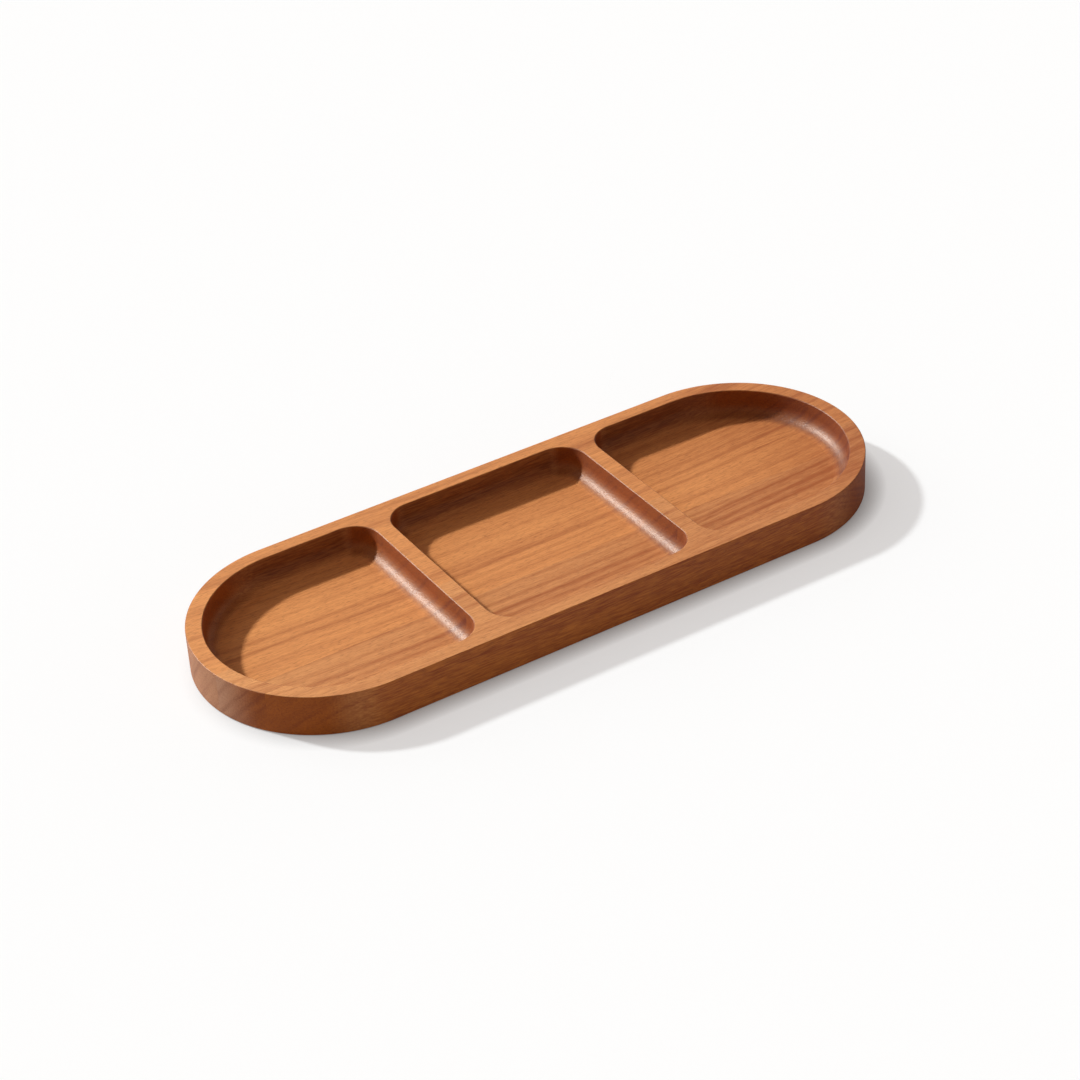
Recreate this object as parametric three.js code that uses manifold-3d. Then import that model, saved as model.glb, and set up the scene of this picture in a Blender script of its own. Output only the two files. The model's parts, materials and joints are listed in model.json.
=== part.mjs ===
// Divided serving tray: a board edge-glued from five wood staves, milled to a long outline with round
// ends and a row of coved wells in its upper face. It rests on its flat underside.
// Millimetres. +X runs along the tray, +Y to the rear and +Z up. The origin lies on the underside,
// under the middle of the tray.

import * as THREE from "three";
import { mergeVertices } from "three/addons/utils/BufferGeometryUtils.js";
import Module from "manifold-3d";

// Board
const trayLength = 360;
const trayWidth = 127.5;
const trayHeight = 21.5;
const staveWidth = 25.5; // the inner staves as sawn; the two edge staves take what is left of the width
const upperEdgeRadius = 0.4; // outer top edge
const lowerEdgeRadius = 1; // outer bottom edge

// Wells
const wellCount = 3;
const rimWidth = 8;
const dividerWidth = 9;
const wellDepth = 14;
const cornerRadius = 14; // in plan, where a well's long wall meets a divider
const coveRadius = 8; // from a wall to the floor
const lipRadius = 0.6; // round-over along a well's upper edge

// Fineness of the round surfaces
const endSegments = 16; // to a quarter turn of a round end
const cornerSegments = 8;
const edgeSegments = 3;
const coveSegments = 6;

const halfLength = trayLength / 2;
const halfWidth = trayWidth / 2;
const wellFloor = trayHeight - wellDepth;
const cutterOverrun = 2; // how far a cutter runs past the face that it enters

const wasm = await Module();
wasm.setup();

function toSolid(geometry) {
  const bare = geometry.clone();
  bare.deleteAttribute("normal");
  bare.deleteAttribute("uv");
  const merged = mergeVertices(bare);
  const vertProperties = merged.attributes.position.array;
  const triVerts = new Uint32Array(merged.index.array);
  return new wasm.Manifold(new wasm.Mesh({ numProp: 3, vertProperties, triVerts }));
}

function toGeometry(solid) {
  const { vertProperties, triVerts } = solid.getMesh();
  const geometry = new THREE.BufferGeometry();
  geometry.setAttribute("position", new THREE.BufferAttribute(vertProperties, 3));
  geometry.setIndex(new THREE.BufferAttribute(triVerts, 1));
  geometry.computeVertexNormals();
  return geometry;
}

// The two ends of an outline: a half circle as wide as the outline, or two small rounded corners.
const roundEnd = (halfDepth) => ({ radius: halfDepth, segments: endSegments });
const squareEnd = { radius: cornerRadius, segments: cornerSegments };

// The points of an outline with all its sides moved inwards by an inset.
function outlinePoints({ xLow, xHigh, halfDepth, lowEnd, highEnd }, inset) {
  const corners = [
    { end: highEnd, x: xHigh - highEnd.radius, y: highEnd.radius - halfDepth, start: -Math.PI / 2 },
    { end: highEnd, x: xHigh - highEnd.radius, y: halfDepth - highEnd.radius, start: 0 },
    { end: lowEnd, x: xLow + lowEnd.radius, y: halfDepth - lowEnd.radius, start: Math.PI / 2 },
    { end: lowEnd, x: xLow + lowEnd.radius, y: lowEnd.radius - halfDepth, start: Math.PI },
  ];
  const points = corners.flatMap(({ end, x, y, start }) => {
    const arc = new THREE.ArcCurve(x, y, end.radius - inset, start, start + Math.PI / 2, false);
    return arc.getPoints(end.segments);
  });
  const sameSpot = 1e-6;
  return points.filter((point, i) => point.distanceTo(points.at(i - 1)) > sameSpot);
}

// A closed solid through a stack of insets of one outline, from its lowest level to its highest.
function loft(outline, levels) {
  const rings = levels.map(({ inset }) => outlinePoints(outline, inset));
  const count = rings[0].length;
  const top = (rings.length - 1) * count;
  const positions = rings.flatMap((ring, k) => ring.flatMap((point) => [point.x, point.y, levels[k].z]));
  const triangles = [];
  for (let k = 0; k < rings.length - 1; k++) {
    for (let i = 0; i < count; i++) {
      const a = k * count + i;
      const b = k * count + ((i + 1) % count);
      triangles.push(a, b, b + count, a, b + count, a + count);
    }
  }
  for (const [a, b, c] of THREE.ShapeUtils.triangulateShape(rings[0], [])) {
    triangles.push(a, c, b);
  }
  for (const [a, b, c] of THREE.ShapeUtils.triangulateShape(rings.at(-1), [])) {
    triangles.push(top + a, top + b, top + c);
  }
  const geometry = new THREE.BufferGeometry();
  geometry.setAttribute("position", new THREE.Float32BufferAttribute(positions, 3));
  geometry.setIndex(triangles);
  return toSolid(geometry);
}

// Levels along a quarter circle, as its angle goes from 0 to a right angle.
function quarterLevels(segments, level) {
  return Array.from({ length: segments + 1 }, (_, i) => level((i / segments) * (Math.PI / 2)));
}

// The glued board, cut to its outline and with its outer edges rounded over.
function makeBoard() {
  const outline = {
    xLow: -halfLength,
    xHigh: halfLength,
    halfDepth: halfWidth,
    lowEnd: roundEnd(halfWidth),
    highEnd: roundEnd(halfWidth),
  };
  const lowerEdge = quarterLevels(edgeSegments, (angle) => ({
    inset: lowerEdgeRadius * (1 - Math.sin(angle)),
    z: lowerEdgeRadius * (1 - Math.cos(angle)),
  }));
  const upperEdge = quarterLevels(edgeSegments, (angle) => ({
    inset: upperEdgeRadius * (1 - Math.cos(angle)),
    z: trayHeight - upperEdgeRadius * (1 - Math.sin(angle)),
  }));
  return loft(outline, [...lowerEdge, ...upperEdge]);
}

// The wells are of one length. The first and the last follow the tray's round ends.
const wellLength = (trayLength - 2 * rimWidth - (wellCount - 1) * dividerWidth) / wellCount;
const wellHalfWidth = halfWidth - rimWidth;

// What is milled out of the board for one well: a flat floor, a cove, an upright wall and a round lip.
function makeWellCut(index) {
  const xLow = rimWidth - halfLength + index * (wellLength + dividerWidth);
  const outline = {
    xLow,
    xHigh: xLow + wellLength,
    halfDepth: wellHalfWidth,
    lowEnd: index === 0 ? roundEnd(wellHalfWidth) : squareEnd,
    highEnd: index === wellCount - 1 ? roundEnd(wellHalfWidth) : squareEnd,
  };
  const cove = quarterLevels(coveSegments, (angle) => ({
    inset: coveRadius * (1 - Math.sin(angle)),
    z: wellFloor + coveRadius * (1 - Math.cos(angle)),
  }));
  const lip = quarterLevels(edgeSegments, (angle) => ({
    inset: -lipRadius * (1 - Math.cos(angle)),
    z: trayHeight - lipRadius * (1 - Math.sin(angle)),
  }));
  const wayOut = { inset: -lipRadius, z: trayHeight + cutterOverrun };
  return loft(outline, [...cove, ...lip, wayOut]);
}

// The strip of the board that one stave takes up, between two glue lines or past the outside.
function makeStrip(yLow, yHigh) {
  const reach = halfLength + cutterOverrun;
  const plan = new THREE.Shape([
    new THREE.Vector2(-reach, yLow),
    new THREE.Vector2(reach, yLow),
    new THREE.Vector2(reach, yHigh),
    new THREE.Vector2(-reach, yHigh),
  ]);
  const depth = trayHeight + 2 * cutterOverrun;
  const strip = new THREE.ExtrudeGeometry(plan, { depth, bevelEnabled: false });
  return toSolid(strip.translate(0, 0, -cutterOverrun));
}

const staves = [
  { name: "front_edge_stave", colour: 0xc07a46 },
  { name: "front_inner_stave", colour: 0xb56c3c },
  { name: "centre_stave", colour: 0xcb8850 },
  { name: "rear_inner_stave", colour: 0xc6824c },
  { name: "rear_edge_stave", colour: 0xca874f },
];

// The glue lines lie one stave's width apart, evenly about the middle of the tray.
const gluedJoints = staves.length - 1;
const glueLine = (index) => (index - (gluedJoints - 1) / 2) * staveWidth;
const outside = halfWidth + cutterOverrun;
const stripEdges = [-outside, ...Array.from({ length: gluedJoints }, (_, i) => glueLine(i)), outside];

const wellCuts = Array.from({ length: wellCount }, (_, index) => makeWellCut(index));
const milledBoard = wellCuts.reduce((board, cut) => board.subtract(cut), makeBoard());

const tray = new THREE.Group();
tray.name = "divided_serving_tray";

staves.forEach(({ name, colour }, i) => {
  const stave = milledBoard.intersect(makeStrip(stripEdges[i], stripEdges[i + 1]));
  const oiledWood = new THREE.MeshStandardMaterial({ color: colour, roughness: 0.45, metalness: 0 });
  const mesh = new THREE.Mesh(toGeometry(stave), oiledWood);
  mesh.name = name;
  tray.add(mesh);
});

export default tray;
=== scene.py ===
"""A divided serving tray glued up from five wood staves, with its milled wells, oiled grain and stage."""

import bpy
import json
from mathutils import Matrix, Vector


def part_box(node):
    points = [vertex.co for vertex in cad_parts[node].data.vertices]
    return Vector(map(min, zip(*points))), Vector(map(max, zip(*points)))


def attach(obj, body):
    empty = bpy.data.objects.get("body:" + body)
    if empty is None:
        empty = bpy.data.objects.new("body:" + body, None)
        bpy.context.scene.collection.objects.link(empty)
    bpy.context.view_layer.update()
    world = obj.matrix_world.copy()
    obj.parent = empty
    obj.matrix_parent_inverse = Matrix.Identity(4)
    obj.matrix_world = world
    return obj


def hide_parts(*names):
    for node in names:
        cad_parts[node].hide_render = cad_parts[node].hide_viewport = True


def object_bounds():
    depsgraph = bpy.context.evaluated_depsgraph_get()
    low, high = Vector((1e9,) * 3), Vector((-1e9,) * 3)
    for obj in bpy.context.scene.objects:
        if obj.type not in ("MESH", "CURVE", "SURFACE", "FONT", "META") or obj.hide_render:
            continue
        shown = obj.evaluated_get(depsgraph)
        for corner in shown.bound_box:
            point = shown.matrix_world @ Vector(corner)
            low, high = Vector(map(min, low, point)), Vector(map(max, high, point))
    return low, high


bl_info = {
    "name": "Divided Serving Tray",
    "version": (1, 0, 0),
    "blender": (4, 5, 0),
    "location": "3D View > Sidebar > Tray",
    "description": "Builds a long wooden serving tray with coved wells, and the stage that shows it",
    "category": "Add Mesh",
}

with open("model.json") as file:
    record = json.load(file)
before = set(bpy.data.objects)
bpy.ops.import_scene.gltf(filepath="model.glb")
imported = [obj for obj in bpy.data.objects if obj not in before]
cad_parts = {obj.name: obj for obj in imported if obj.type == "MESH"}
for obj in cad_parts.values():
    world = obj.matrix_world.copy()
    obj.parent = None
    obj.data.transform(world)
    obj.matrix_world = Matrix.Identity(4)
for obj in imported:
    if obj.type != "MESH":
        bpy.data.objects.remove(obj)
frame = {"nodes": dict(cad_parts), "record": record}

import json
import math
from collections import namedtuple

import bmesh
import bpy
from bpy.props import FloatProperty, FloatVectorProperty, IntProperty, PointerProperty
from mathutils import Quaternion, Vector

CAD_LOW, CAD_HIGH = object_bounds()
STAVES = sorted(frame["nodes"], key=lambda node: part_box(node)[0].y)
SLOTS = {row["node"]: row["material_slot"] for row in frame["record"]["subparts"]}

X_AXIS = Vector((1, 0, 0))
Y_AXIS = Vector((0, 1, 0))
Z_AXIS = Vector((0, 0, 1))
QUARTER_TURN = math.pi / 2
MM = 0.001
SAME_SPOT = 0.01 * MM
WHITE = (1.0, 1.0, 1.0, 1.0)


class TrayShape(bpy.types.PropertyGroup):
    """Sizes of the tray that the frame's boxes don't give."""

    well_count: IntProperty(name="Wells", description="Wells in the row", default=3, min=1)
    rim_width: FloatProperty(
        name="Rim width", description="Wall round the outside, at the top",
        default=8 * MM, unit="LENGTH")
    divider_width: FloatProperty(
        name="Divider width", description="Wall between two wells",
        default=9 * MM, unit="LENGTH")
    well_depth: FloatProperty(
        name="Well depth", description="From the rim down to a well's floor",
        default=14 * MM, unit="LENGTH")
    corner_radius: FloatProperty(
        name="Corner radius", description="Well corners in plan, at a divider",
        default=14 * MM, unit="LENGTH")
    cove_radius: FloatProperty(
        name="Cove radius", description="From a well's wall to its floor",
        default=8 * MM, unit="LENGTH")
    lip_radius: FloatProperty(
        name="Lip radius", description="Round-over of a well's upper edge",
        default=0.6 * MM, unit="LENGTH")
    upper_edge_radius: FloatProperty(
        name="Upper edge radius", description="Round-over of the outer top edge",
        default=0.4 * MM, unit="LENGTH")
    lower_edge_radius: FloatProperty(
        name="Lower edge radius", description="Round-over of the outer bottom edge",
        default=1 * MM, unit="LENGTH")
    end_steps: IntProperty(
        name="End steps", description="Faces in a quarter of a round end", default=64, min=1)
    corner_steps: IntProperty(
        name="Corner steps", description="Faces round a well's corner", default=24, min=1)
    cove_steps: IntProperty(
        name="Cove steps", description="Faces across a cove", default=16, min=1)
    edge_steps: IntProperty(
        name="Edge steps", description="Faces across a lip or an outer edge", default=6, min=1)


class WoodLook(bpy.types.PropertyGroup):
    """Colours, growth layers and finish of the oiled wood."""

    amber_wood: FloatVectorProperty(
        name="Amber wood", description="Early growth of the centre and rear staves",
        default=(0.745, 0.327, 0.106), subtype="COLOR")
    russet_wood: FloatVectorProperty(
        name="Russet wood", description="Early growth of the front staves",
        default=(0.738, 0.352, 0.128), subtype="COLOR")
    deep: FloatVectorProperty(
        name="Deep wood", description="Late growth",
        default=(0.34, 0.1, 0.03), subtype="COLOR")
    pore: FloatVectorProperty(
        name="Pore", description="Short open pores",
        default=(0.22, 0.07, 0.022), subtype="COLOR")
    # Painted shade: the two side colours darken and deepen walls along the grain, which stand in shade, the
    # amber one most for the wells' rear walls.
    amber_wood_side: FloatVectorProperty(
        name="Amber side", description="What the oil leaves of the amber wood on walls along the grain",
        default=(0.45, 0.36, 0.25), subtype="COLOR")
    russet_wood_side: FloatVectorProperty(
        name="Russet side", description="What the oil leaves of the russet wood on walls along the grain",
        default=(0.625, 0.42, 0.18), subtype="COLOR")
    end_tint: FloatVectorProperty(
        name="End tint", description="What the oil leaves of the colour where the grain is cut across",
        default=(0.445, 0.325, 0.195), subtype="COLOR")
    upright_tint: FloatVectorProperty(
        name="Upright tint", description="What is left of the end tint where such a cut stands upright",
        default=(0.89, 0.62, 0.15), subtype="COLOR")
    # Painted sheen: this pale tint stands in for the floor's light glancing off the end grain at the outer
    # wall's tips.
    outer_tint: FloatVectorProperty(
        name="Outer tint", description="What is left of the colour at the outer wall's drier tips",
        default=(0.48, 0.5, 0.76), subtype="COLOR")
    base_tone: FloatProperty(
        name="Base tone", description="How far plain wood goes towards deep wood at the tray's middle",
        default=0.11, min=0, max=1, subtype="FACTOR")
    # Partly painted shade: the right end's deeper tone is partly the wood's own and partly the key light
    # falling off towards it.
    tone_drift: FloatProperty(
        name="Tone drift", description="How much deeper the tone is at the right end than at the left",
        default=0.29, min=0, max=1, subtype="FACTOR")
    far_tone: FloatProperty(
        name="Far tone", description="How much deeper still it is past the middle of the right well",
        default=0.16, min=0, max=1, subtype="FACTOR")
    band_tone: FloatProperty(
        name="Band tone", description="How much deeper the broad bands are",
        default=0.2, min=0, max=1, subtype="FACTOR")
    streak_tone: FloatProperty(
        name="Streak tone", description="How much deeper the long streaks are",
        default=0.24, min=0, max=1, subtype="FACTOR")
    fibre_tone: FloatProperty(
        name="Fibre tone", description="How much deeper the fibres are",
        default=0.27, min=0, max=1, subtype="FACTOR")
    side_contrast: FloatProperty(
        name="Side contrast", description="How much more the fibres stand out on walls along the grain",
        default=0.42, min=0, max=1, subtype="FACTOR")
    pore_tone: FloatProperty(
        name="Pore tone", description="How much of their own colour the pores show",
        default=0.4, min=0, max=1, subtype="FACTOR")
    layer_slant: FloatProperty(
        name="Layer slant", description="Tilt of the growth layers",
        default=math.radians(40), subtype="ANGLE")
    layer_bow: FloatProperty(
        name="Layer bow", description="How far the layers rise from the middle of the tray to its ends",
        default=5.2 * MM, unit="LENGTH")
    layer_lean: FloatProperty(
        name="Layer lean", description="How much further they rise at the right end than at the left",
        default=2.8 * MM, unit="LENGTH")
    layer_wander: FloatProperty(
        name="Layer wander", description="How far they sway from side to side",
        default=3 * MM, unit="LENGTH")
    roughness: FloatProperty(
        name="Roughness", description="Along the grain",
        default=0.55, min=0, max=1, subtype="FACTOR")
    end_roughness: FloatProperty(
        name="End roughness", description="Where the grain is cut across and takes the most oil",
        default=0.44, min=0, max=1, subtype="FACTOR")
    upright_roughness: FloatProperty(
        name="Upright roughness", description="Where such a cut stands upright",
        default=0.75, min=0, max=1, subtype="FACTOR")
    gloss: FloatProperty(
        name="Gloss", description="Specular level of the oil",
        default=0.3, min=0, max=1, subtype="FACTOR")
    gloss_tint: FloatVectorProperty(
        name="Gloss tint", description="Colour of the oil's gloss",
        default=(1.0, 0.88, 0.74), subtype="COLOR")


class StageSetup(bpy.types.PropertyGroup):
    """The camera, the lights and the floor."""

    azimuth: FloatProperty(
        name="Azimuth", description="Camera turned round the tray",
        default=math.radians(-30.72), subtype="ANGLE")
    elevation: FloatProperty(
        name="Elevation", description="Camera above the table",
        default=math.radians(34.18), subtype="ANGLE")
    roll: FloatProperty(
        name="Roll", description="Camera turned about its own line of sight",
        default=math.radians(-3.31), subtype="ANGLE")
    distance: FloatProperty(
        name="Distance", description="Camera to the middle of the tray's top",
        default=1.3262, unit="LENGTH")
    sensor_width: FloatProperty(
        name="Sensor width", description="What the focal length goes with",
        default=36, unit="CAMERA")
    lens: FloatProperty(
        name="Lens", description="Focal length",
        default=92.87, unit="CAMERA")
    aim_right: FloatProperty(
        name="Aim right", description="Picture's middle, right of the tray's top",
        default=1.22 * MM, unit="LENGTH")
    aim_below: FloatProperty(
        name="Aim below", description="Picture's middle, below the tray's top",
        default=5.73 * MM, unit="LENGTH")
    sun_from: FloatVectorProperty(
        name="Sun from", description="Way to the key light",
        default=(-0.432, 0.6955, 0.5743), subtype="DIRECTION")
    sun_strength: FloatProperty(
        name="Sun strength", description="Key light",
        default=3.9, min=0)
    sun_angle: FloatProperty(
        name="Sun size", description="Softness of the key light",
        default=math.radians(4), subtype="ANGLE")
    halo_strength: FloatProperty(
        name="Halo strength", description="Soft light round the key light",
        default=0.6, min=0)
    halo_angle: FloatProperty(
        name="Halo size", description="Width of that soft light",
        default=math.radians(55), subtype="ANGLE")
    glow_from: FloatVectorProperty(
        name="Glow from", description="Way to the glow",
        default=(-0.531, 0.711, 0.461), subtype="DIRECTION")
    glow_strength: FloatProperty(
        name="Glow strength", description="Glow beside the key light that only gloss shows",
        default=4.3, min=0)
    glow_angle: FloatProperty(
        name="Glow size", description="Softness of that glow",
        default=math.radians(16), subtype="ANGLE")
    sky_colour: FloatVectorProperty(
        name="Sky", description="Dim warm light from above, over a white horizon",
        default=(0.26, 0.183, 0.148), subtype="COLOR")
    floor_colour: FloatVectorProperty(
        name="Floor", description="Pale table top",
        default=(0.855, 0.9, 0.912), subtype="COLOR")
    floor_half_size: FloatProperty(
        name="Floor half size", description="From the middle of the floor to its edge",
        default=6, unit="LENGTH")
    shadow_lift: FloatProperty(
        name="Shadow lift", description="How much of the floor shows as plain white",
        default=0.55, min=0, max=1, subtype="FACTOR")
    shadow_reach: FloatProperty(
        name="Shadow reach", description="How far from the tray that white fades",
        default=11 * MM, unit="LENGTH")


# One end of an outline in plan: the radius of its two corners, and the faces round each of them.
End = namedtuple("End", "radius steps")

# One corner of an outline in plan: the middle of its arc, its radius, and the faces round it.
Corner = namedtuple("Corner", "centre radius steps")


def turn(bm, geom, centre, axis, angle, steps):
    """Spins vertices or edges about an axis, and returns what the spin ends on."""
    return bmesh.ops.spin(bm, geom=geom, cent=centre, axis=axis, angle=angle, steps=steps)["geom_last"]


def run(bm, geom, way):
    """Draws vertices or edges out along a straight way, and returns what the run ends on."""
    return bmesh.ops.spin(bm, geom=geom, axis=Z_AXIS, dvec=way, angle=0, steps=1)["geom_last"]


def plan_corners(x_low, x_high, half_width, low_end, high_end):
    """The corners of an outline, anticlockwise from the front of its high end.

    An end whose radius is the half width is a round one.
    """
    low_x = x_low + low_end.radius
    high_x = x_high - high_end.radius
    places = ((high_end, high_x, -1), (high_end, high_x, 1), (low_end, low_x, 1), (low_end, low_x, -1))
    return [
        Corner(Vector((x, side * (half_width - end.radius), 0)), end.radius, end.steps)
        for end, x, side in places
    ]


def sweep(bm, corners):
    """Carries the section that is drawn at the first corner once round an outline."""
    section = [edge for edge in bm.edges if edge.is_wire]
    last = section + list(dict.fromkeys(vert for edge in section for vert in edge.verts))
    outward = X_AXIS
    for corner, ahead in zip(corners, corners[1:] + corners[:1]):
        last = turn(bm, last, corner.centre, Z_AXIS, QUARTER_TURN, corner.steps)
        way = ahead.centre - corner.centre + (ahead.radius - corner.radius) * outward
        if way.length > SAME_SPOT:
            last = run(bm, last, way)
        outward = Z_AXIS.cross(outward)


def draw_outer_wall(bm, corner, shape):
    """Draws the outer wall's section, from the underside round its lower edge, up, and onto the rim."""
    lower, upper = shape.lower_edge_radius, shape.upper_edge_radius
    start = corner.centre + (lower - corner.radius) * Y_AXIS + CAD_LOW.z * Z_AXIS
    last = turn(bm, [bm.verts.new(start)], start + lower * Z_AXIS, X_AXIS, -QUARTER_TURN, shape.edge_steps)
    last = run(bm, last, (CAD_HIGH.z - CAD_LOW.z - lower - upper) * Z_AXIS)
    turn(bm, last, last[0].co + upper * Y_AXIS, X_AXIS, -QUARTER_TURN, shape.edge_steps)


def draw_well_wall(bm, corner, shape):
    """Draws a well's section, from the rim over its lip, down, and round the cove onto the floor."""
    start = corner.centre - (corner.radius + shape.lip_radius) * Y_AXIS + CAD_HIGH.z * Z_AXIS
    lip_centre = start - shape.lip_radius * Z_AXIS
    last = turn(bm, [bm.verts.new(start)], lip_centre, X_AXIS, -QUARTER_TURN, shape.edge_steps)
    last = run(bm, last, (shape.lip_radius + shape.cove_radius - shape.well_depth) * Z_AXIS)
    turn(bm, last, last[0].co + shape.cove_radius * Y_AXIS, X_AXIS, QUARTER_TURN, shape.cove_steps)


def open_edges(bm, height):
    """The edges at one height that have a face on one side only."""
    return [
        edge for edge in bm.edges
        if edge.is_boundary and all(abs(vert.co.z - height) < SAME_SPOT for vert in edge.verts)
    ]


def check_closed(bm, name):
    """Stops the build if a mesh has a gap or a loose edge."""
    if not all(edge.is_manifold for edge in bm.edges):
        raise RuntimeError(f"the mesh of {name} isn't closed")


def mill_board(shape):
    """The whole tray as one closed mesh: the outer wall, the wells, and the flats between them."""
    bm = bmesh.new()
    half_width = CAD_HIGH.y
    board_end = End(half_width, shape.end_steps)
    board = plan_corners(CAD_LOW.x, CAD_HIGH.x, half_width, board_end, board_end)
    draw_outer_wall(bm, board[0], shape)
    sweep(bm, board)

    inner_length = CAD_HIGH.x - CAD_LOW.x - 2 * shape.rim_width
    well_length = (inner_length - (shape.well_count - 1) * shape.divider_width) / shape.well_count
    well_half_width = half_width - shape.rim_width
    round_end = End(well_half_width, shape.end_steps)
    square_end = End(shape.corner_radius, shape.corner_steps)
    for index in range(shape.well_count):
        x_low = CAD_LOW.x + shape.rim_width + index * (well_length + shape.divider_width)
        low_end = round_end if index == 0 else square_end
        high_end = round_end if index == shape.well_count - 1 else square_end
        well = plan_corners(x_low, x_low + well_length, well_half_width, low_end, high_end)
        draw_well_wall(bm, well[0], shape)
        sweep(bm, well)

    bmesh.ops.remove_doubles(bm, verts=bm.verts, dist=SAME_SPOT)
    for height in (CAD_LOW.z, CAD_HIGH.z - shape.well_depth):
        bmesh.ops.edgeloop_fill(bm, edges=open_edges(bm, height))
    bmesh.ops.triangle_fill(bm, edges=open_edges(bm, CAD_HIGH.z), use_beauty=True)
    bmesh.ops.recalc_face_normals(bm, faces=bm.faces)
    check_closed(bm, "the milled board")
    return bm


def saw_stave(board, node):
    """The strip of the milled board that one stave takes up, closed along its glued faces."""
    bm = board.copy()
    low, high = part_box(node)
    for y, outward in ((low.y, -1), (high.y, 1)):
        if abs(y) > CAD_HIGH.y - SAME_SPOT:
            continue
        cut = bmesh.ops.bisect_plane(
            bm, geom=bm.verts[:] + bm.edges[:] + bm.faces[:], dist=SAME_SPOT,
            plane_co=y * Y_AXIS, plane_no=outward * Y_AXIS, clear_outer=True)
        edges = [item for item in cut["geom_cut"] if isinstance(item, bmesh.types.BMEdge)]
        bmesh.ops.edgeloop_fill(bm, edges=edges)
        for edge in edges:
            edge.smooth = False
    bmesh.ops.recalc_face_normals(bm, faces=bm.faces)
    check_closed(bm, node)
    for face in bm.faces:
        face.smooth = True
    return bm


def add_stave(context, bm, node, material):
    """Turns a sawn stave into the piece that stands for its node."""
    mesh = bpy.data.meshes.new(f"{node}_wood")
    bm.to_mesh(mesh)
    bm.free()
    mesh.materials.append(material)
    piece = bpy.data.objects.new(f"{node}_wood", mesh)
    context.scene.collection.objects.link(piece)
    flats = piece.modifiers.new("flats_stay_flat", "WEIGHTED_NORMAL")
    flats.keep_sharp = True
    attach(piece, "root")
    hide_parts(node)


# A figure that noise draws in the wood: the lengths of its blots in millimetres, along the grain, across the
# growth layers and along them, the noise's detail, and the noise at which it starts to show and is full.
Figure = namedtuple("Figure", "lengths detail start full")

BANDS = Figure((260.0, 8.0, 60.0), 2.0, 0.25, 0.75)
STREAKS = Figure((120.0, 1.9, 20.0), 2.0, 0.45, 0.75)
FIBRES = Figure((9.0, 0.6, 0.8), 2.0, 0.25, 0.75)
PORES = Figure((3.0, 0.4, 0.4), 1.0, 0.52, 0.72)

# Plain noise that sways the growth layers, and plain noise that roughens cuts across the grain.
WANDER_LENGTHS = (90.0, 30.0, 30.0)
WANDER_DETAIL = 3.0
SPECKLE_LENGTHS = (0.8, 0.8, 0.8)
SPECKLE_DETAIL = 1.0

# Millimetres between the noise of one stave and that of the next, so that no two look alike.
NOISE_STEP = Vector((113.0, 0.0, 31.0))

# Fine relief of the wood, in millimetres.
FIBRE_HEIGHT = 0.02
PORE_DEPTH = 0.03
SPECKLE_HEIGHT = 0.1

# A band of deeper tone across the growth layers, a growth line that stands out, and on the rear edge stave a
# painted shade: millimetres across the layers, half its width, and the depth of its tone.
ToneBand = namedtuple("ToneBand", "place half_width depth")

DARK_LINES = {
    "front_edge_stave": [ToneBand(-32.0, 14.0, 0.13)],
    "front_inner_stave": [
        ToneBand(-19.0, 16.0, 0.14),
        ToneBand(-6.5, 2.0, 0.28),
        ToneBand(-13.4, 1.8, 0.2),
        ToneBand(-18.9, 2.1, 0.28),
        ToneBand(-23.0, 1.9, 0.22),
    ],
    "centre_stave": [ToneBand(10.0, 1.8, 0.28), ToneBand(-0.5, 1.4, 0.14)],
    "rear_inner_stave": [ToneBand(15.5, 1.8, 0.24), ToneBand(24.0, 1.6, 0.14)],
    # Painted shade: this band lies along the wells' rear inner wall, which stands in shade.
    "rear_edge_stave": [ToneBand(50.5, 4.5, 0.2)],
}

# Where each kind of cut starts to show and shows in full. A face's lean is 0 on a floor and 1 on an upright
# wall, and its share is how much of its level facing lies along the grain.
SIDE_LEAN = (0.2, 0.95)
END_LEAN = (0.05, 0.6)
UPRIGHT_LEAN = (0.78, 1.0)
ACROSS_SHARE = (0.0, 0.5)

# Millimetres from the tray's ends at which the painted sheen on the tips of the outer wall starts and is
# full.
TIP_REACH = (40.0, 2.0)

# Millimetres right of the tray's middle at which the far tone starts and is full.
FAR_REACH = (95.0, 165.0)

# The Mix node's sockets for colours, whose names are the same as those of its sockets for numbers.
MIX_SHARE, MIX_FIRST, MIX_SECOND, MIX_RESULT = 0, 6, 7, 2


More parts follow.
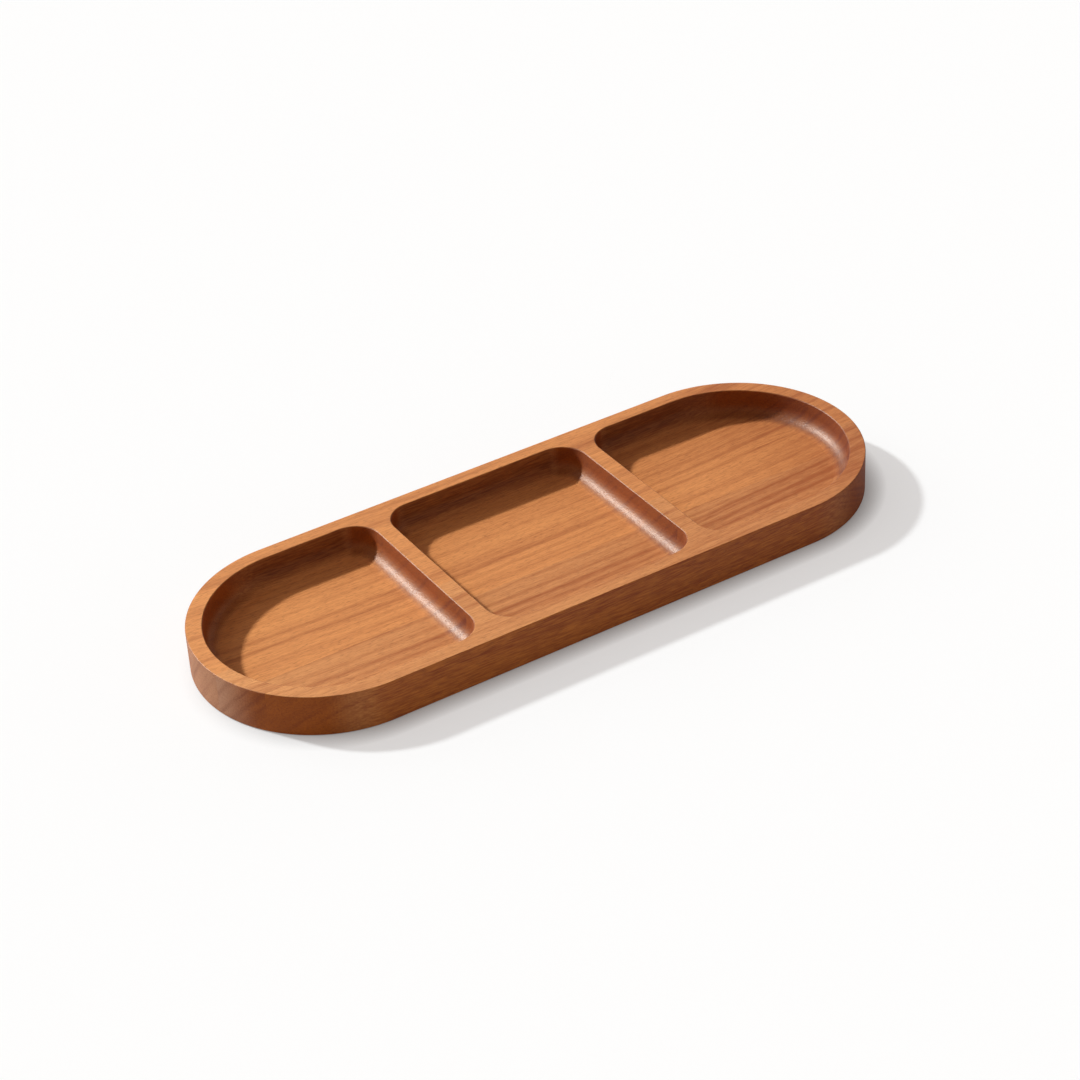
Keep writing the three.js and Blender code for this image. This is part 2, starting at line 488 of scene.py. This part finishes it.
class NodeBench:
    """Adds nodes to an emptied node tree and links them."""

    def __init__(self, tree):
        self.tree = tree
        tree.nodes.clear()

    def set(self, socket, value):
        """Links a socket to another node's output, or gives it a plain value."""
        if isinstance(value, bpy.types.NodeSocket):
            self.tree.links.new(value, socket)
        else:
            socket.default_value = value

    def add(self, kind, inputs, **settings):
        """Adds a node with its settings and its inputs."""
        node = self.tree.nodes.new(kind)
        for name, value in settings.items():
            setattr(node, name, value)
        for name, value in inputs.items():
            self.set(node.inputs[name], value)
        return node

    def math(self, operation, *values):
        """What an operation makes of numbers."""
        return self.add("ShaderNodeMath", dict(enumerate(values)), operation=operation).outputs[0]

    def vector(self, operation, *values):
        """The vector that an operation makes of vectors."""
        return self.add("ShaderNodeVectorMath", dict(enumerate(values)), operation=operation).outputs[0]

    def axis(self, vector, name):
        """One of a vector's three numbers: X, Y or Z."""
        return self.add("ShaderNodeSeparateXYZ", {"Vector": vector}).outputs[name]

    def fade(self, value, start, full):
        """0 before start and 1 after full, with a soft change between them."""
        inputs = {"Value": value, "From Min": start, "From Max": full}
        return self.add("ShaderNodeMapRange", inputs, interpolation_type="SMOOTHSTEP").outputs[0]

    def mix(self, share, first, second, blend="MIX"):
        """The first colour, with a share of the second blended in."""
        inputs = {MIX_SHARE: share, MIX_FIRST: first, MIX_SECOND: second}
        return self.add("ShaderNodeMix", inputs, data_type="RGBA", blend_type=blend).outputs[MIX_RESULT]

    def noise(self, place, lengths, detail):
        """Noise whose blots have these lengths along a place's three axes."""
        inputs = {"Vector": self.vector("DIVIDE", place, lengths), "Scale": 1.0, "Detail": detail}
        return self.add("ShaderNodeTexNoise", inputs).outputs[0]

    def figure(self, place, figure):
        """How much a figure of the wood shows."""
        noise = self.noise(place, figure.lengths, figure.detail)
        return self.fade(noise, figure.start, figure.full)


def opaque(colour):
    """A colour with its fourth number, for a colour socket."""
    return (*colour, 1.0)


def growth_layers(bench, look):
    """Millimetres along the grain, across the growth layers and along them, with the layers bowed."""
    place = bench.add("ShaderNodeTexCoord", {}).outputs["Object"]
    straight = bench.add("ShaderNodeMapping", {
        "Vector": place,
        "Rotation": (-look.layer_slant, 0.0, 0.0),
        "Scale": (1 / MM, 1 / MM, 1 / MM),
    }).outputs[0]
    reach = bench.math("DIVIDE", bench.axis(straight, "X"), CAD_HIGH.x / MM)
    rise = bench.math("MULTIPLY_ADD", reach, look.layer_bow / MM, look.layer_lean / MM / 2)
    noise = bench.noise(straight, WANDER_LENGTHS, WANDER_DETAIL)
    sway = look.layer_wander / MM
    wander = bench.math("MULTIPLY_ADD", noise, sway, -sway / 2)
    shift = bench.math("SUBTRACT", wander, bench.math("MULTIPLY", rise, reach))
    return bench.vector("ADD", straight, bench.add("ShaderNodeCombineXYZ", {"Y": shift}).outputs[0])


def lengthwise_tone(bench, look, layers):
    """How deep the tone of plain wood is, which changes along the tray: the steady drift is partly the
    wood's own tone and partly painted shade of the key light falling off towards the right end.
    """
    along = bench.axis(layers, "X")
    slope = look.tone_drift * MM / (CAD_HIGH.x - CAD_LOW.x)
    tone = bench.math("MULTIPLY_ADD", along, slope, look.base_tone)
    return bench.math("MULTIPLY_ADD", bench.fade(along, *FAR_REACH), look.far_tone, tone)


def dark_lines(bench, layers, node):
    """How deep the tone of the stave's own dark lines is: growth lines, and on the rear edge stave a painted
    shade along the wells' rear wall.
    """
    across = bench.axis(layers, "Y")
    tone = 0.0
    for line in DARK_LINES.get(node, ()):
        off = bench.math("ABSOLUTE", bench.math("SUBTRACT", across, line.place))
        tone = bench.math("MULTIPLY_ADD", bench.fade(off, line.half_width, 0.0), line.depth, tone)
    return tone


def cut_faces(bench):
    """Where the wood is cut along the grain, where it is cut across it, and where that cut is upright."""
    normal = bench.add("ShaderNodeNewGeometry", {}).outputs["True Normal"]
    level = bench.vector("MULTIPLY", bench.vector("ABSOLUTE", normal), (1.0, 1.0, 0.0))
    lean = bench.add("ShaderNodeVectorMath", {0: level}, operation="LENGTH").outputs["Value"]
    across = bench.fade(bench.math("DIVIDE", bench.axis(level, "X"), lean), *ACROSS_SHARE)
    side = bench.math("MULTIPLY", bench.fade(lean, *SIDE_LEAN), bench.math("SUBTRACT", 1.0, across))
    end = bench.math("MULTIPLY", bench.fade(lean, *END_LEAN), across)
    upright = bench.math("MULTIPLY", bench.fade(lean, *UPRIGHT_LEAN), across)
    return side, end, upright


def painted_sheen_tips(bench, layers):
    """Where the outer wall stands square to the grain at the two ends of the tray, which get the painted
    sheen.
    """
    normal = bench.add("ShaderNodeNewGeometry", {}).outputs["True Normal"]
    out = bench.axis(bench.vector("MULTIPLY", layers, normal), "X")
    start, full = (CAD_HIGH.x / MM - reach for reach in TIP_REACH)
    return bench.fade(out, start, full)


def end_grain_tint(bench, look, layers, upright):
    """What the oil leaves of the colour where the grain is cut across, paled to a painted sheen at the outer
    wall's tips.
    """
    inner = bench.mix(upright, opaque(look.end_tint), opaque(look.upright_tint), "MULTIPLY")
    return bench.mix(painted_sheen_tips(bench, layers), inner, opaque(look.outer_tint))


def oil_roughness(bench, look, end, upright):
    """The oil's roughness: least on cuts across the grain, and most where such a cut stands upright."""
    roughness = bench.math("MULTIPLY_ADD", end, look.end_roughness - look.roughness, look.roughness)
    return bench.math("MULTIPLY_ADD", upright, look.upright_roughness - look.end_roughness, roughness)


def fine_relief(bench, grain, fibres, pores, end):
    """Raised fibres, sunken pores, and a speckle on cuts across the grain."""
    speckle = bench.math("MULTIPLY", end, bench.noise(grain, SPECKLE_LENGTHS, SPECKLE_DETAIL))
    height = bench.math("MULTIPLY_ADD", fibres, FIBRE_HEIGHT, bench.math("MULTIPLY", pores, -PORE_DEPTH))
    height = bench.math("MULTIPLY_ADD", speckle, SPECKLE_HEIGHT, height)
    return bench.add("ShaderNodeBump", {"Height": height, "Strength": 1.0, "Distance": MM}).outputs[0]


def oiled_wood(node, look):
    """The wood of one stave: growth layers, streaks, fibres and pores, deeper where it is cut across, with
    painted shade on its walls along the grain and a painted sheen at the outer tips.
    """
    material = bpy.data.materials.new(f"{node}_oiled_wood")
    material.use_nodes = True
    bench = NodeBench(material.node_tree)
    layers = growth_layers(bench, look)
    grain = bench.vector("ADD", layers, STAVES.index(node) * NOISE_STEP)
    fibres = bench.figure(grain, FIBRES)
    pores = bench.figure(grain, PORES)
    side, end, upright = cut_faces(bench)

    tone = bench.math("ADD", lengthwise_tone(bench, look, layers), dark_lines(bench, layers, node))
    tone = bench.math("MULTIPLY_ADD", bench.figure(grain, BANDS), look.band_tone, tone)
    tone = bench.math("MULTIPLY_ADD", bench.figure(grain, STREAKS), look.streak_tone, tone)
    fibre_tone = bench.math("MULTIPLY_ADD", side, look.side_contrast, look.fibre_tone)
    tone = bench.math("MULTIPLY_ADD", fibres, fibre_tone, tone)

    slot = SLOTS[node]
    colour = bench.mix(tone, opaque(getattr(look, slot)), opaque(look.deep))
    colour = bench.mix(bench.math("MULTIPLY", pores, look.pore_tone), colour, opaque(look.pore))
    # Painted shade: walls along the grain are multiplied down to their darker side colour.
    colour = bench.mix(side, colour, opaque(getattr(look, f"{slot}_side")), "MULTIPLY")
    colour = bench.mix(end, colour, end_grain_tint(bench, look, layers, upright), "MULTIPLY")
    surface = bench.add("ShaderNodeBsdfPrincipled", {
        "Base Color": colour,
        "Roughness": oil_roughness(bench, look, end, upright),
        "Specular IOR Level": look.gloss,
        "Specular Tint": opaque(look.gloss_tint),
        "Normal": fine_relief(bench, grain, fibres, pores, end),
    })
    bench.add("ShaderNodeOutputMaterial", {"Surface": surface.outputs[0]})
    return material


class TRAY_OT_build_staves(bpy.types.Operator):
    """Mills the tray and saws it along its glue lines into the staves that it is made of"""

    bl_idname = "tray.build_staves"
    bl_label = "Build Staves"

    def execute(self, context):
        scene = context.scene
        board = mill_board(scene.tray_shape)
        for node in STAVES:
            add_stave(context, saw_stave(board, node), node, oiled_wood(node, scene.tray_wood))
        board.free()
        return {"FINISHED"}


# Heights on a sky of radius 1 at which the white horizon starts to fade and the sky's own colour is full.
HORIZON_FADE = (0.2, 0.4)


def seen_directly(bench):
    """1 for the camera's own rays and for what gloss and glass show, and 0 for all other light."""
    path = bench.add("ShaderNodeLightPath", {}).outputs
    seen = bench.math("MAXIMUM", path["Is Camera Ray"], path["Is Glossy Ray"])
    return bench.math("MAXIMUM", seen, path["Is Transmission Ray"])


def pale_paint(setup):
    """The floor's material, which is lifted towards white where the key light's way is open."""
    material = bpy.data.materials.new("pale_floor")
    material.use_nodes = True
    bench = NodeBench(material.node_tree)
    paint = bench.add("ShaderNodeBsdfDiffuse", {"Color": opaque(setup.floor_colour)})
    sunward = bench.add("ShaderNodeCombineXYZ", dict(enumerate(setup.sun_from))).outputs[0]
    open_way = bench.add("ShaderNodeAmbientOcclusion", {"Distance": setup.shadow_reach, "Normal": sunward})
    white = bench.add("ShaderNodeEmission", {"Color": WHITE, "Strength": open_way.outputs["AO"]})
    lift = bench.math("MULTIPLY", seen_directly(bench), setup.shadow_lift)
    surface = bench.add("ShaderNodeMixShader", {0: lift, 1: paint.outputs[0], 2: white.outputs[0]})
    bench.add("ShaderNodeOutputMaterial", {"Surface": surface.outputs[0]})
    return material


def lay_floor(context, setup):
    """A wide pale floor that keeps the tray's shadow and shows as white where the light reaches it."""
    bm = bmesh.new()
    bmesh.ops.create_grid(bm, x_segments=1, y_segments=1, size=setup.floor_half_size)
    bmesh.ops.translate(bm, verts=bm.verts, vec=(CAD_LOW.z - SAME_SPOT) * Z_AXIS)
    mesh = bpy.data.meshes.new("pale_floor")
    bm.to_mesh(mesh)
    bm.free()
    mesh.materials.append(pale_paint(setup))
    floor = bpy.data.objects.new("pale_floor", mesh)
    context.scene.collection.objects.link(floor)


def hang_sun(context, name, way, strength, angle):
    """A distant lamp that shines from one way."""
    data = bpy.data.lights.new(name, "SUN")
    data.energy = strength
    data.angle = angle
    lamp = bpy.data.objects.new(name, data)
    lamp.rotation_euler = Vector(way).to_track_quat("Z", "Y").to_euler()
    context.scene.collection.objects.link(lamp)
    return lamp


def light_stage(context, setup):
    """A key light from the rear left with a soft halo, a glow that only gloss shows, and a dim sky."""
    hang_sun(context, "key_light", setup.sun_from, setup.sun_strength, setup.sun_angle)
    hang_sun(context, "key_halo", setup.sun_from, setup.halo_strength, setup.halo_angle)
    glow = hang_sun(context, "key_glow", setup.glow_from, setup.glow_strength, setup.glow_angle)
    glow.visible_diffuse = False

    sky = bpy.data.worlds.new("studio_sky")
    sky.use_nodes = True
    bench = NodeBench(sky.node_tree)
    way = bench.add("ShaderNodeTexCoord", {}).outputs["Object"]
    above = bench.fade(bench.axis(way, "Z"), *HORIZON_FADE)
    colour = bench.mix(above, WHITE, opaque(setup.sky_colour))
    light = bench.add("ShaderNodeBackground", {"Color": colour, "Strength": 1.0})
    bench.add("ShaderNodeOutputWorld", {"Surface": light.outputs[0]})
    context.scene.world = sky


def place_camera(context, setup):
    """The camera at the photograph's viewing angle."""
    flat = math.cos(setup.elevation)
    back = Vector((
        math.sin(setup.azimuth) * flat, -math.cos(setup.azimuth) * flat, math.sin(setup.elevation)))
    facing = back.to_track_quat("Z", "Y") @ Quaternion(Z_AXIS, setup.roll)
    top_middle = Vector(((CAD_LOW.x + CAD_HIGH.x) / 2, (CAD_LOW.y + CAD_HIGH.y) / 2, CAD_HIGH.z))
    data = bpy.data.cameras.new("camera")
    data.sensor_fit = "HORIZONTAL"
    data.sensor_width = setup.sensor_width
    data.lens = setup.lens
    camera = bpy.data.objects.new("camera", data)
    aim = facing @ Vector((setup.aim_right, -setup.aim_below, 0))
    camera.location = top_middle + aim + back * setup.distance
    camera.rotation_euler = facing.to_euler()
    context.scene.collection.objects.link(camera)
    context.scene.camera = camera


class TRAY_OT_set_stage(bpy.types.Operator):
    """Lays the floor, hangs the lights and places the camera"""

    bl_idname = "tray.set_stage"
    bl_label = "Set Stage"

    def execute(self, context):
        setup = context.scene.tray_stage
        lay_floor(context, setup)
        light_stage(context, setup)
        place_camera(context, setup)
        context.scene.view_settings.view_transform = "Standard"
        return {"FINISHED"}


class TRAY_PT_sidebar(bpy.types.Panel):
    """The tray's sizes, wood and stage, with the operators that build them"""

    bl_idname = "TRAY_PT_sidebar"
    bl_label = "Divided Serving Tray"
    bl_space_type = "VIEW_3D"
    bl_region_type = "UI"
    bl_category = "Tray"

    def draw(self, context):
        scene = context.scene
        for operator, groups in (
            (TRAY_OT_build_staves, (scene.tray_shape, scene.tray_wood)),
            (TRAY_OT_set_stage, (scene.tray_stage,)),
        ):
            box = self.layout.box()
            for group in groups:
                for name in group.__annotations__:
                    box.prop(group, name)
            box.operator(operator.bl_idname)


CLASSES = (TrayShape, WoodLook, StageSetup, TRAY_OT_build_staves, TRAY_OT_set_stage, TRAY_PT_sidebar)


def register():
    for cls in CLASSES:
        bpy.utils.register_class(cls)
    bpy.types.Scene.tray_shape = PointerProperty(type=TrayShape)
    bpy.types.Scene.tray_wood = PointerProperty(type=WoodLook)
    bpy.types.Scene.tray_stage = PointerProperty(type=StageSetup)


def unregister():
    del bpy.types.Scene.tray_stage
    del bpy.types.Scene.tray_wood
    del bpy.types.Scene.tray_shape
    for cls in reversed(CLASSES):
        bpy.utils.unregister_class(cls)


def main():
    register()
    bpy.ops.tray.set_stage()
    bpy.ops.tray.build_staves()


if __name__ == "__main__":
    main()
